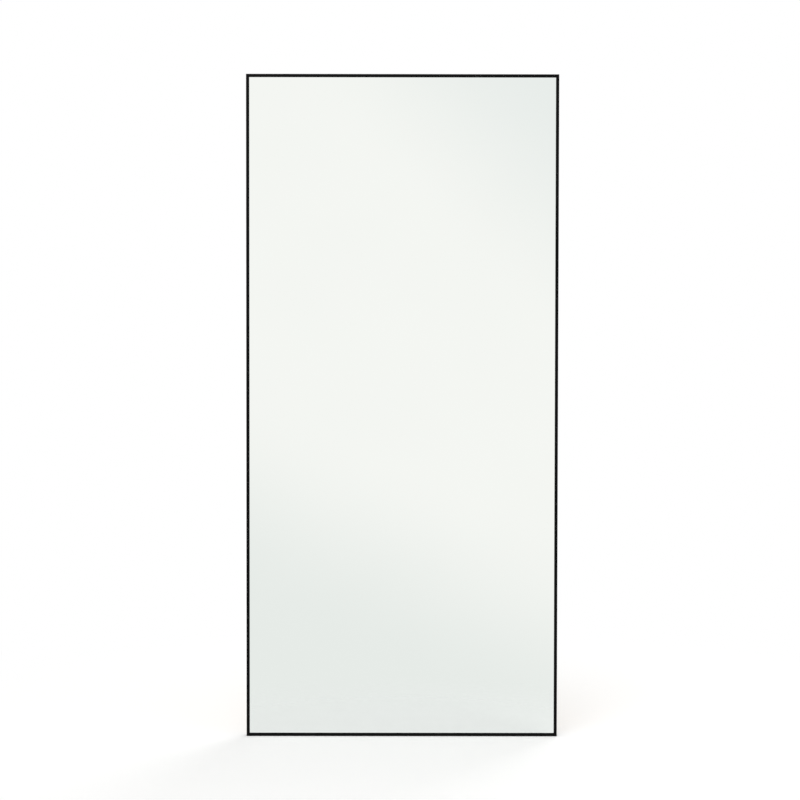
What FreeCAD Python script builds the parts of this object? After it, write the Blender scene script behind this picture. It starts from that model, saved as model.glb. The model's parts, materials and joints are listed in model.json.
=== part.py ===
import FreeCAD, Part
import math
import os
import re

import Sketcher

# A tall framed wall mirror. Four mitred lengths of a thin aluminium section hold the glass and its
# backing board, L-shaped keys in the section's rear slot lock the corners, and two D-rings on the
# board hang the mirror on the wall.
# X runs to the right, Y towards the wall, whose plane is y = 0, and Z up from the bottom edge.

# Driving sizes in millimetres
SIZES = {
    # Frame section
    "frame_width": 800,
    "frame_height": 1700,
    "face_width": 8,
    "lip_thickness": 1.5,
    "wall_thickness": 1.5,
    "rib_thickness": 1.5,
    "slot_width": 12,
    "slot_depth": 5.5,
    "slot_lip_thickness": 1.5,
    "mouth_clearance": 0.25,
    "edge_radius": 0.4,
    # Glass and the layers in front of it and behind it
    "glass_thickness": 4,
    "glass_arris": 0.5,
    "edge_clearance": 1.5,
    "glazing_thickness": 0.8,
    "glazing_width": 4,
    "glazing_margin": 1.5,
    "film_thickness": 0.2,
    "bond_thickness": 1,
    "bond_width": 25,
    "bond_inset": 60,
    "board_thickness": 9,
    "block_length": 60,
    "block_inset": 150,
    # Corner keys and their screws
    "key_thickness": 2.5,
    "key_clearance": 0.25,
    "key_first_screw": 24,
    "key_screw_pitch": 22,
    "key_end": 8,
    "shim_thickness": 0.8,
    "set_screw_diameter": 4,
    "socket_width": 2,
    "socket_depth": 1.8,
    # Screws that hold the board to the section's rib
    "panel_screw_diameter": 3,
    "panel_screw_reach": 7,
    "panel_head_diameter": 5,
    "panel_head_height": 1.8,
    "panel_screw_inset": 170,
    "hole_clearance": 0.1,
    # Hanger straps, rings and screws
    "hanger_inset": 100,
    "hanger_drop": 300,
    "strap_width": 13,
    "strap_thickness": 1.2,
    "strap_end": 9,
    "strap_corner": 5,
    "strap_first_screw": 12,
    "strap_screw_pitch": 16,
    "ring_wire": 3,
    "ring_clearance": 0.05,
    "ring_inner_width": 22,
    "ring_inner_height": 17,
    "ring_bend": 4,
    "ring_rest_gap": 0.3,
    "hanger_screw_diameter": 3.5,
    "hanger_screw_reach": 7.5,
    "hanger_head_diameter": 7,
    "hanger_head_height": 2.2,
    "head_edge": 0.6,
    "tip_length": 2,
}

# Places and sizes that follow from the driving sizes
FOLLOWS = {
    # Distances in front of the wall plane, from the back of the section to its front
    "slot_floor": "slot_lip_thickness + slot_depth",
    "board_back": "slot_floor + rib_thickness",
    "board_front": "board_back + board_thickness",
    "film_back": "board_front + bond_thickness",
    "glass_back": "film_back + film_thickness",
    "glass_front": "glass_back + glass_thickness",
    "lip_back": "glass_front + glazing_thickness",
    "frame_depth": "lip_back + lip_thickness",
    # Distances in from the outer face of the section
    "slot_inner": "wall_thickness + slot_width",
    "section_width": "slot_inner + wall_thickness",
    "slot_centre": "wall_thickness + slot_width / 2",
    "slot_mouth": "panel_head_diameter + 2 * mouth_clearance",
    "glass_edge": "wall_thickness + edge_clearance",
    "glazing_inner": "face_width - glazing_margin",
    "glazing_outer": "glazing_inner - glazing_width",
    # Sizes of the sheet layers
    "sheet_width": "frame_width - 2 * glass_edge",
    "bond_length": "frame_height - 2 * bond_inset",
    # Corner keys
    "key_half": "slot_width / 2 - key_clearance",
    "key_leg": "key_first_screw + key_screw_pitch + key_end",
    "set_screw_length": "slot_depth - shim_thickness",
    # Hangers, measured from the axis of the ring's straight side
    "eye_radius": "ring_wire / 2 + ring_clearance",
    "roll_radius": "eye_radius + strap_thickness",
    "strap_length": "strap_first_screw + strap_screw_pitch + strap_end",
    "strap_second_screw": "strap_first_screw + strap_screw_pitch",
    "ring_half": "(ring_inner_width + ring_wire) / 2",
    "ring_height": "ring_inner_height + ring_wire",
    "ring_lean": "asin((roll_radius - ring_wire / 2 - ring_rest_gap) / ring_height)",
    "hanger_side": "frame_width / 2 - hanger_inset",
    "hanger_level": "frame_height - hanger_drop",
}

STILE_SCREWS = 5
RAIL_SCREWS = 3
BOND_STRIPS = 5
# How far a cut runs past the metal, and how near two places are to count as one
CUT_OVERRUN = 5
NEAR = 0.001
SIDES = {"left": -1, "right": 1}

doc = FreeCAD.newDocument("full_length_mirror")
pieces = []


def fill_sheet():
    """Write the driving sizes into the sheet, one row each."""
    sheet = doc.addObject("Spreadsheet::Sheet", "Sizes")
    for row, (name, value) in enumerate(SIZES.items(), 1):
        sheet.set(f"A{row}", name)
        sheet.set(f"B{row}", str(value))
        sheet.setAlias(f"B{row}", name)
    doc.recompute()


def formula(words):
    """Spell out a formula in size names as one that reads the sheet's cells."""

    def spell(match):
        name = match.group()
        if name in FOLLOWS:
            return "(" + formula(FOLLOWS[name]) + ")"
        return "Sizes." + name if name in SIZES else name

    return re.sub(r"[a-z_]+", spell, words)


def bind(thing, prop, words):
    """Tie a property to a formula in size names."""
    thing.setExpression(prop, formula(words))


def place(thing, x="0", y="0", z="0", turn=0):
    """Set a piece at a place given by formulas, turned about the Y axis by so many degrees."""
    thing.Placement = FreeCAD.Placement(
        FreeCAD.Vector(), FreeCAD.Rotation(FreeCAD.Vector(0, 1, 0), turn)
    )
    for axis, words in zip("xyz", (x, y, z)):
        bind(thing, f"Placement.Base.{axis}", words)


def keep(piece):
    """List a finished piece as one of the mirror's sub-parts."""
    pieces.append(piece)
    return piece


def new_body(label):
    return doc.addObject("PartDesign::Body", label)


def new_sketch(body, name, role):
    """Start a sketch on one of the body's own origin planes."""
    sketch = body.newObject("Sketcher::SketchObject", f"{body.Name}_{name}")
    plane = next(item for item in body.Origin.OriginFeatures if item.Role == role)
    sketch.AttachmentSupport = (plane, [""])
    sketch.MapMode = "FlatFace"
    return sketch


def fix_size(sketch, kind, words, item, point=0):
    """Add a sized constraint that starts at the drawn value and then follows a formula."""
    if kind == "Radius":
        constraint = Sketcher.Constraint(kind, item, sketch.Geometry[item].Radius)
    else:
        spot = sketch.getPoint(item, point)
        constraint = Sketcher.Constraint(kind, item, point, spot.x if kind == "DistanceX" else spot.y)
    number = sketch.addConstraint(constraint)
    sketch.setExpression(f"Constraints[{number}]", formula(words))


def fix_point(sketch, item, point, x, y):
    fix_size(sketch, "DistanceX", x, item, point)
    fix_size(sketch, "DistanceY", y, item, point)


def join_ends(sketch, first, first_point, second, second_point):
    sketch.addConstraint(Sketcher.Constraint("Coincident", first, first_point, second, second_point))


def add_outline(sketch, corners):
    """Draw a closed straight-sided outline whose corners are pairs of formulas."""
    count = len(corners)
    ring = [
        FreeCAD.Vector(math.cos(turn), math.sin(turn), 0)
        for turn in (2 * math.pi * number / count for number in range(count))
    ]
    lines = [
        sketch.addGeometry(Part.LineSegment(ring[number], ring[(number + 1) % count]), False)
        for number in range(count)
    ]
    for number, line in enumerate(lines):
        join_ends(sketch, line, 2, lines[(number + 1) % count], 1)
        fix_point(sketch, line, 1, *corners[number])


def add_circle(sketch, x, y, radius):
    circle = Part.Circle(FreeCAD.Vector(0, 0, 0), FreeCAD.Vector(0, 0, 1), 1)
    item = sketch.addGeometry(circle, False)
    fix_point(sketch, item, 3, x, y)
    fix_size(sketch, "Radius", radius, item)


def rectangle(left, right, low, high):
    """The corners of an upright rectangle."""
    return [(left, low), (right, low), (right, high), (left, high)]


def pad(body, sketch, length, symmetric=False):
    """Raise a sketch into a solid along its normal, or evenly to both sides."""
    feature = body.newObject("PartDesign::Pad", f"{sketch.Name}_pad")
    feature.Profile = sketch
    feature.Midplane = symmetric
    bind(feature, "Length", length)
    doc.recompute()
    return feature


def pocket(body, sketch, length):
    """Cut a sketch out of the body, evenly to both sides of the sketch's plane."""
    before = body.Shape.Volume
    feature = body.newObject("PartDesign::Pocket", f"{sketch.Name}_cut")
    feature.Profile = sketch
    feature.Midplane = True
    bind(feature, "Length", length)
    doc.recompute()
    if not feature.Shape.Volume < before:
        raise RuntimeError(f"{feature.Name} cuts nothing")
    return feature


def soften(body, base, kind, words, picks):
    """Round or bevel the edges of a feature for which the pick function is true."""
    names = [f"Edge{number}" for number, edge in enumerate(base.Shape.Edges, 1) if picks(edge)]
    feature = body.newObject(f"PartDesign::{kind}", f"{body.Name}_{kind.lower()}")
    feature.Base = (base, names)
    bind(feature, "Radius" if kind == "Fillet" else "Size", words)
    doc.recompute()
    return feature


def runs_along(edge, axis):
    """True for a straight edge along an axis, given as the index of a vector's part."""
    start, end = edge.Vertexes[0].Point, edge.Vertexes[-1].Point
    return abs((end - start)[axis]) > edge.Length - NEAR


def group(label, piece, places):
    """Copies of one piece at several places, as one sub-part of separate solids."""
    copies = []
    for number, where in enumerate(places, 1):
        copy = doc.addObject("App::Link", f"{label}_{number}")
        copy.LinkedObject = piece
        place(copy, *where)
        copies.append(copy)
    whole = doc.addObject("Part::Compound", label)
    whole.Links = copies
    doc.recompute()
    return whole


def spread(length, inset, count, number):
    """The place of one of several points set evenly between two insets of a length."""
    return f"{inset} + ({length} - 2 * {inset}) * {number} / {count - 1}"


# Frame


def section_corners():
    """The extrusion's section as depth and height, with its outer face on top at height 0."""
    near_lip = "-(slot_centre - slot_mouth / 2)"
    far_lip = "-(slot_centre + slot_mouth / 2)"
    return [
        ("-frame_depth", "0"),
        ("-frame_depth", "-face_width"),
        ("-lip_back", "-face_width"),
        ("-lip_back", "-wall_thickness"),
        ("-board_back", "-wall_thickness"),
        ("-board_back", "-section_width"),
        ("0", "-section_width"),
        ("0", far_lip),
        ("-slot_lip_thickness", far_lip),
        ("-slot_lip_thickness", "-slot_inner"),
        ("-slot_floor", "-slot_inner"),
        ("-slot_floor", "-wall_thickness"),
        ("-slot_lip_thickness", "-wall_thickness"),
        ("-slot_lip_thickness", near_lip),
        ("0", near_lip),
        ("0", "0"),
    ]


def frame_member(label, length, screws):
    """One mitred length of the section, with clearance holes for the panel screws in its rib."""
    body = new_body(label)
    section = new_sketch(body, "section", "YZ_Plane")
    add_outline(section, section_corners())
    bar = pad(body, section, length, symmetric=True)
    face = bar.Shape.BoundBox.YMin

    def exposed(edge):
        """The long edges that a hand meets: both front ones and the outer rear one."""
        point = edge.Vertexes[0].Point
        front = abs(point.y - face) < NEAR
        outer_rear = abs(point.y) < NEAR and abs(point.z) < NEAR
        return runs_along(edge, 0) and (front or outer_rear)

    soften(body, bar, "Fillet", "edge_radius", exposed)
    over = str(CUT_OVERRUN)
    mitres = new_sketch(body, "mitres", "XZ_Plane")
    for side in ("-", ""):
        tip = f"{side}({length} / 2 + {over})"
        root = f"{side}({length} / 2 - section_width - {over})"
        below = f"-section_width - {over}"
        add_outline(mitres, [(tip, over), (tip, below), (root, below)])
    pocket(body, mitres, "3 * frame_depth")
    holes = new_sketch(body, "holes", "XZ_Plane")
    radius = "panel_screw_diameter / 2 + hole_clearance"
    for number in range(screws):
        along = spread(length, "panel_screw_inset", screws, number)
        add_circle(holes, f"{along} - {length} / 2", "-slot_centre", radius)
    pocket(body, holes, "2 * board_back + rib_thickness")
    return keep(body)


def frame():
    place(frame_member("top_rail", "frame_width", RAIL_SCREWS), z="frame_height")
    place(frame_member("bottom_rail", "frame_width", RAIL_SCREWS), turn=180)
    for name, side in SIDES.items():
        stile = frame_member(f"{name}_stile", "frame_height", STILE_SCREWS)
        place(stile, f"{side} * frame_width / 2", "0", "frame_height / 2", 90 * side)


# Glass and the layers that lie against it


def sheet_layer(label, thickness, back):
    """A flat sheet that fills the frame's rebate, its back at a distance in front of the wall."""
    body = new_body(label)
    sketch = new_sketch(body, "outline", "XZ_Plane")
    corners = rectangle("-sheet_width / 2", "sheet_width / 2", "glass_edge", "frame_height - glass_edge")
    add_outline(sketch, corners)
    slab = pad(body, sketch, thickness)
    place(body, y=f"-{back}")
    keep(body)
    return body, slab


def mirror_glass():
    """Silvered glass with its front edges ground to a small bevel."""
    body, slab = sheet_layer("mirror_glass", "glass_thickness", "glass_back")
    face = slab.Shape.BoundBox.YMin
    soften(body, slab, "Chamfer", "glass_arris", lambda edge: abs(edge.BoundBox.YMax - face) < NEAR)


def panel_screw_places():
    """Where the panel screws stand, as formulas for x and z."""
    places = []
    for number in range(STILE_SCREWS):
        along = spread("frame_height", "panel_screw_inset", STILE_SCREWS, number)
        for side in SIDES.values():
            places.append((f"{side} * (frame_width / 2 - slot_centre)", along))
    for number in range(RAIL_SCREWS):
        along = spread("frame_width", "panel_screw_inset", RAIL_SCREWS, number)
        for level in ("slot_centre", "frame_height - slot_centre"):
            places.append((f"{along} - frame_width / 2", level))
    return places


def hanger_screw_places():
    """Where the hanger screws stand, as formulas for x and z."""
    return [
        (f"{side} * hanger_side", f"hanger_level - {drop}")
        for side in SIDES.values()
        for drop in ("strap_first_screw", "strap_second_screw")
    ]


def backing_board():
    """The panel behind the glass, with pilot holes for the screws that enter it."""
    body, _ = sheet_layer("backing_board", "board_thickness", "board_back")
    kinds = {"panel": panel_screw_places(), "hanger": hanger_screw_places()}
    for kind, places in kinds.items():
        holes = new_sketch(body, f"{kind}_holes", "XZ_Plane")
        for x, z in places:
            add_circle(holes, x, z, f"{kind}_screw_diameter / 2 + hole_clearance")
        pocket(body, holes, f"2 * ({kind}_screw_reach + hole_clearance)")


def glazing_tapes():
    """Soft strips between the front lip and the glass, butted at the corners."""
    low, high = "glazing_outer", "glazing_inner"
    across = ("glazing_outer - frame_width / 2", "frame_width / 2 - glazing_outer")
    along = ("glazing_inner", "frame_height - glazing_inner")
    strips = {
        "top": (*across, f"frame_height - {high}", f"frame_height - {low}"),
        "bottom": (*across, low, high),
        "left": (f"{low} - frame_width / 2", f"{high} - frame_width / 2", *along),
        "right": (f"frame_width / 2 - {high}", f"frame_width / 2 - {low}", *along),
    }
    for name, limits in strips.items():
        body = new_body(f"glazing_tape_{name}")
        sketch = new_sketch(body, "outline", "XZ_Plane")
        add_outline(sketch, rectangle(*limits))
        pad(body, sketch, "glazing_thickness")
        place(keep(body), y="-glass_front")


def bonding_tape():
    """Upright double-sided strips that stick the filmed glass to the board."""
    strip = doc.addObject("Part::Box", "bonding_strip")
    bind(strip, "Length", "bond_width")
    bind(strip, "Width", "bond_thickness")
    bind(strip, "Height", "bond_length")
    places = []
    for number in range(BOND_STRIPS):
        middle = spread("frame_width", "bond_inset", BOND_STRIPS, number)
        places.append((f"{middle} - (frame_width + bond_width) / 2", "-film_back", "bond_inset"))
    keep(group("bonding_tape", strip, places))


def edge_blocks():
    """Rubber blocks between the sheets' edges and the frame's wall, two on each side."""
    block = doc.addObject("Part::Box", "edge_block")
    bind(block, "Length", "block_length")
    bind(block, "Width", "glass_front - board_back")
    bind(block, "Height", "edge_clearance")
    depth = "-glass_front"
    places = []
    for along in ("block_inset", "frame_width - block_inset"):
        start = f"{along} - (frame_width + block_length) / 2"
        places.append((start, depth, "wall_thickness"))
        places.append((start, depth, "frame_height - glass_edge"))
    for level in ("block_inset", "frame_height - block_inset"):
        end = f"{level} + block_length / 2"
        places.append(("wall_thickness - frame_width / 2", depth, end, 90))
        places.append(("frame_width / 2 - glass_edge", depth, end, 90))
    keep(group("edge_blocks", block, places))


# Corner joints

CORNERS = {
    "top_right": ("frame_width / 2", "frame_height", 0),
    "bottom_right": ("frame_width / 2", "0", 90),
    "bottom_left": ("-frame_width / 2", "0", 180),
    "top_left": ("-frame_width / 2", "frame_height", 270),
}


def corner_screw_places():
    """The four screws of a corner as formulas for x and z, from the frame's outer corner."""
    places = []
    for reach in ("key_first_screw", "key_first_screw + key_screw_pitch"):
        places.append((f"-({reach})", "-slot_centre"))
        places.append(("-slot_centre", f"-({reach})"))
    return places


def corner_plate(label, thickness, tapped):
    """An L-shaped plate that lies in the slots of two members that meet."""
    outer = "key_half - slot_centre"
    inner = "-key_half - slot_centre"
    body = new_body(label)
    sketch = new_sketch(body, "outline", "XZ_Plane")
    add_outline(
        sketch,
        [
            (outer, outer),
            (outer, "-key_leg"),
            (inner, "-key_leg"),
            (inner, inner),
            ("-key_leg", inner),
            ("-key_leg", outer),
        ],
    )
    if tapped:
        for x, z in corner_screw_places():
            add_circle(sketch, x, z, "set_screw_diameter / 2 + hole_clearance")
    pad(body, sketch, thickness)
    return keep(body)


def set_screw():
    """A headless screw with a hexagon socket in its rear end, its tip at the origin."""
    body = new_body("set_screw")
    sketch = new_sketch(body, "shank", "XZ_Plane")
    add_circle(sketch, "0", "0", "set_screw_diameter / 2")
    pad(body, sketch, "set_screw_length")
    socket = new_sketch(body, "socket", "XZ_Plane")
    turns = [60 * number for number in range(6)]
    reach = "socket_width / 2 / cos(30)"
    add_outline(socket, [(f"{reach} * cos({turn})", f"{reach} * sin({turn})") for turn in turns])
    pocket(body, socket, "2 * socket_depth")
    return body


def corner_joints():
    """Tapped keys under the slot's lips, shims on its floor and the screws that force them apart."""
    for name, (x, z, turn) in CORNERS.items():
        key = corner_plate(f"corner_key_{name}", "key_thickness", tapped=True)
        place(key, x, "-slot_lip_thickness", z, turn)
        shim = corner_plate(f"corner_shim_{name}", "shim_thickness", tapped=False)
        place(shim, x, "shim_thickness - slot_floor", z, turn)
    one_corner = group("corner_screws", set_screw(), [(x, "0", z) for x, z in corner_screw_places()])
    places = [(x, "-slot_lip_thickness", z, turn) for x, z, turn in CORNERS.values()]
    keep(group("corner_set_screws", one_corner, places))


# Screws that enter the board


def board_screw(kind, stand):
    """A round-headed screw with its head seated at the origin and its pointed shank along -Y.

    The shank passes through what stands on the board before it reaches into the board.
    """
    reach = f"{stand} + {kind}_screw_reach"
    radius = f"{kind}_screw_diameter / 2"
    head = f"{kind}_head_diameter / 2"
    body = new_body(f"{kind}_screw")
    sketch = new_sketch(body, "outline", "XY_Plane")
    add_outline(
        sketch,
        [
            ("0", f"-({reach})"),
            (radius, f"tip_length - ({reach})"),
            (radius, "0"),
            (head, "0"),
            (head, "head_edge"),
            (f"{head} - head_edge", f"{kind}_head_height"),
            ("0", f"{kind}_head_height"),
        ],
    )
    turned = body.newObject("PartDesign::Revolution", f"{kind}_screw_turned")
    turned.Profile = sketch
    turned.ReferenceAxis = (sketch, ["V_Axis"])
    turned.Angle = 360
    doc.recompute()
    return body


def screws():
    panel = board_screw("panel", "rib_thickness")
    keep(group("panel_screws", panel, [(x, "-slot_floor", z) for x, z in panel_screw_places()]))
    hanger = board_screw("hanger", "strap_thickness")
    seat = "strap_thickness - board_back"
    keep(group("hanger_screws", hanger, [(x, seat, z) for x, z in hanger_screw_places()]))


# Hangers


def strap_profile(body):
    """The strap seen from its side: a flat strip whose upper end rolls round the ring's wire."""
    sketch = new_sketch(body, "profile", "YZ_Plane")
    # Rough sizes to draw from, which the constraints then set
    rough = {"eye_radius": 2, "roll_radius": 3}
    rough_length = 20
    rolls = {}
    for radius, drawn in rough.items():
        circle = Part.Circle(FreeCAD.Vector(0, 0, 0), FreeCAD.Vector(0, 0, 1), drawn)
        item = sketch.addGeometry(Part.ArcOfCircle(circle, -math.pi / 2, math.pi), False)
        join_ends(sketch, item, 3, -1, 1)
        sketch.addConstraint(Sketcher.Constraint("PointOnObject", item, 1, -2))
        sketch.addConstraint(Sketcher.Constraint("PointOnObject", item, 2, -1))
        fix_size(sketch, "Radius", radius, item)
        rolls[radius] = item
    inner, outer = rolls["eye_radius"], rolls["roll_radius"]
    near, far = (-drawn for drawn in rough.values())
    runs = [
        [(near, 0), (near, -rough_length)],
        [(near, -rough_length), (far, -rough_length)],
        [(far, -rough_length), (far, 0)],
        [(0, near), (0, far)],
    ]
    front, foot, rear, end = [
        sketch.addGeometry(Part.LineSegment(*(FreeCAD.Vector(y, z, 0) for y, z in run)), False)
        for run in runs
    ]
    join_ends(sketch, front, 1, inner, 2)
    join_ends(sketch, front, 2, foot, 1)
    join_ends(sketch, foot, 2, rear, 1)
    join_ends(sketch, rear, 2, outer, 2)
    join_ends(sketch, end, 1, inner, 1)
    join_ends(sketch, end, 2, outer, 1)
    sketch.addConstraint(Sketcher.Constraint("Vertical", front))
    sketch.addConstraint(Sketcher.Constraint("Vertical", rear))
    sketch.addConstraint(Sketcher.Constraint("Horizontal", foot))
    fix_size(sketch, "DistanceY", "-strap_length", foot, 1)
    return sketch


def hanger_strap(label):
    """A steel strap with a rolled eye, two screw holes and a rounded lower end."""
    body = new_body(label)
    strip = pad(body, strap_profile(body), "strap_width", symmetric=True)
    low = strip.Shape.BoundBox.ZMin

    def lower_corner(edge):
        return runs_along(edge, 1) and edge.BoundBox.ZMax < low + NEAR

    soften(body, strip, "Fillet", "strap_corner", lower_corner)
    holes = new_sketch(body, "holes", "XZ_Plane")
    for drop in ("strap_first_screw", "strap_second_screw"):
        add_circle(holes, "0", f"-{drop}", "hanger_screw_diameter / 2 + hole_clearance")
    pocket(body, holes, "3 * roll_radius")
    return keep(body)


def ring_path(body):
    """The wire's centre line: a straight side through the eye, two bends, two legs and a round top."""
    sketch = new_sketch(body, "path", "XZ_Plane")
    flat = "ring_half - ring_bend"
    crown = "ring_height - ring_half"
    ends = [
        ("0", "0"),
        (flat, "0"),
        ("ring_half", "ring_bend"),
        ("ring_half", crown),
        ("-ring_half", crown),
        ("-ring_half", "ring_bend"),
        (f"-({flat})", "0"),
    ]
    # Rough places to draw from, which the constraints then set
    rough = [(0, 0), (7, 0), (11, 4), (11, 9), (-11, 9), (-11, 4), (-7, 0)]
    spots = [FreeCAD.Vector(x, y, 0) for x, y in rough]
    rough_middles = {1: (10, 1), 3: (0, 20), 5: (-10, 1)}
    middles = {number: FreeCAD.Vector(x, y, 0) for number, (x, y) in rough_middles.items()}
    count = len(ends)
    items = []
    for number in range(count):
        start, stop = spots[number], spots[(number + 1) % count]
        if number in middles:
            curve = Part.ArcOfCircle(start, middles[number], stop)
        else:
            curve = Part.LineSegment(start, stop)
        items.append(sketch.addGeometry(curve, False))
    for number, item in enumerate(items):
        join_ends(sketch, item, 2, items[(number + 1) % count], 1)
        fix_point(sketch, item, 1, *ends[number])
    fix_size(sketch, "Radius", "ring_bend", items[1])
    fix_size(sketch, "DistanceY", crown, items[3], 3)
    fix_size(sketch, "Radius", "ring_bend", items[5])
    return sketch


def hanger_ring(label):
    """A D-shaped ring of round wire, its straight side along X through the origin."""
    body = new_body(label)
    path = ring_path(body)
    wire = new_sketch(body, "wire", "YZ_Plane")
    add_circle(wire, "0", "0", "ring_wire / 2")
    doc.recompute()
    swept = body.newObject("PartDesign::AdditivePipe", f"{label}_swept")
    swept.Profile = wire
    swept.Spine = (path, [f"Edge{number + 1}" for number in range(len(path.Geometry))])
    doc.recompute()
    return keep(body)


def hangers():
    """A strap and a ring on each side, the ring turned up against the board as it hangs on a hook."""
    for name, side in SIDES.items():
        where = (f"{side} * hanger_side", "roll_radius - board_back", "hanger_level")
        place(hanger_strap(f"hanger_strap_{name}"), *where)
        ring = hanger_ring(f"hanger_ring_{name}")
        place(ring, *where)
        # A turn about X is set first, so that the angle which follows a formula has its axis
        ring.Placement.Rotation = FreeCAD.Rotation(FreeCAD.Vector(1, 0, 0), 1)
        bind(ring, "Placement.Rotation.Angle", "ring_lean")


def check_and_write():
    """Stop on any failed feature or bad solid, then write each sub-part to its own file."""
    doc.recompute()
    for item in doc.Objects:
        if {"Invalid", "Error"} & set(item.State):
            raise RuntimeError(f"{item.Label} failed: {item.State}")
    for piece in pieces:
        if piece.Shape.isNull() or not piece.Shape.isValid():
            raise RuntimeError(f"{piece.Label} has a bad shape")
    os.makedirs("parts", exist_ok=True)
    for piece in pieces:
        piece.Shape.exportStep(f"parts/{piece.Label}.step")
        print(piece.Label, len(piece.Shape.Solids), round(piece.Shape.Volume, 1))


fill_sheet()
frame()
mirror_glass()
sheet_layer("safety_film", "film_thickness", "film_back")
bonding_tape()
backing_board()
glazing_tapes()
edge_blocks()
corner_joints()
screws()
hangers()
check_and_write()
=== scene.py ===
import json
import math

import bmesh
import bpy
from mathutils import Matrix, Vector


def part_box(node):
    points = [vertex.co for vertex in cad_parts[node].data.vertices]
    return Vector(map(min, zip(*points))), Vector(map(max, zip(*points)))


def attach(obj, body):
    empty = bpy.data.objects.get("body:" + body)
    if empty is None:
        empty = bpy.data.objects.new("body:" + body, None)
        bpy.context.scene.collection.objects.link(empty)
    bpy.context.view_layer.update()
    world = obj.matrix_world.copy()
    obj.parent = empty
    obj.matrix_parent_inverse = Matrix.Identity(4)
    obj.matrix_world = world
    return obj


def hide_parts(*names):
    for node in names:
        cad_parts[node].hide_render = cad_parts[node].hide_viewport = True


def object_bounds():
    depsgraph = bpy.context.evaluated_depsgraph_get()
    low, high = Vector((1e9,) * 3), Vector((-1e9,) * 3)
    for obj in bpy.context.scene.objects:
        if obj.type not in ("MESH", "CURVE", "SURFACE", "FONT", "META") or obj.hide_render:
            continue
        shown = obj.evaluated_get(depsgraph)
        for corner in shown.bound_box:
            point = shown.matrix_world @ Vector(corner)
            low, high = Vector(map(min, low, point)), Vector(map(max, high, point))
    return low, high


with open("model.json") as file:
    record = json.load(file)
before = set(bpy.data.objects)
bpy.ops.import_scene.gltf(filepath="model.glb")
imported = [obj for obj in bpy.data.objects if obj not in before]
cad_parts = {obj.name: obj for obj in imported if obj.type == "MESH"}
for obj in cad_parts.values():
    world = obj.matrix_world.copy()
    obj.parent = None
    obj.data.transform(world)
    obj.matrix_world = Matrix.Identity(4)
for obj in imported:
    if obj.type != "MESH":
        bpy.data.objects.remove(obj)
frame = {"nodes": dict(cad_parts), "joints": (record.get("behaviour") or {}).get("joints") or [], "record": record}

# A tall wall mirror in a thin black frame: finishes for its parts, screws with crosses and hexagon
# sockets in place of the plain ones, and a plain white stage.
# X runs to the right, Y from the front towards the wall, and Z up, in metres.

cad_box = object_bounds()
nodes = frame["nodes"]

MM = 0.001
BODY = "mirror"

# Colour sockets of a Mix node, which share their names with its number sockets
MIX_FACTOR = 0
MIX_FIRST = 6
MIX_SECOND = 7
MIX_RESULT = 2

# Most values of a noise texture lie between these
NOISE_LOW = 0.3
NOISE_HIGH = 0.7


def linear(hex_code):
    """An sRGB hex colour as linear red, green and blue with a full alpha."""
    channels = [int(hex_code[start:start + 2], 16) / 255 for start in (1, 3, 5)]
    steps = [c / 12.92 if c <= 0.04045 else ((c + 0.055) / 1.055) ** 2.4 for c in channels]
    return (*steps, 1.0)


def per_metre(size_mm):
    """The texture scale at which a pattern's features are about so many millimetres across."""
    return 1 / (size_mm * MM)


def add(tree, kind, inputs=None, **settings):
    """Add a node, set its properties, and give each named input a value, a link or a list of links."""
    made = tree.nodes.new(kind)
    for name, value in settings.items():
        setattr(made, name, value)
    for name, value in (inputs or {}).items():
        for one in value if isinstance(value, list) else [value]:
            if isinstance(one, bpy.types.NodeSocket):
                tree.links.new(one, made.inputs[name])
            else:
                made.inputs[name].default_value = one
    return made


# Finishes


def start_finish(name):
    """A new material with an empty tree, and the place on the object that its patterns follow."""
    material = bpy.data.materials.new(name)
    material.use_nodes = True
    tree = material.node_tree
    tree.nodes.clear()
    place = add(tree, "ShaderNodeTexCoord").outputs["Object"]
    return material, tree, place


# How much of a normal lies along one axis: at least this on a flat, and at most this well round an edge
FLAT_SHARE = 0.995
EDGE_SHARE = 0.85


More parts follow.
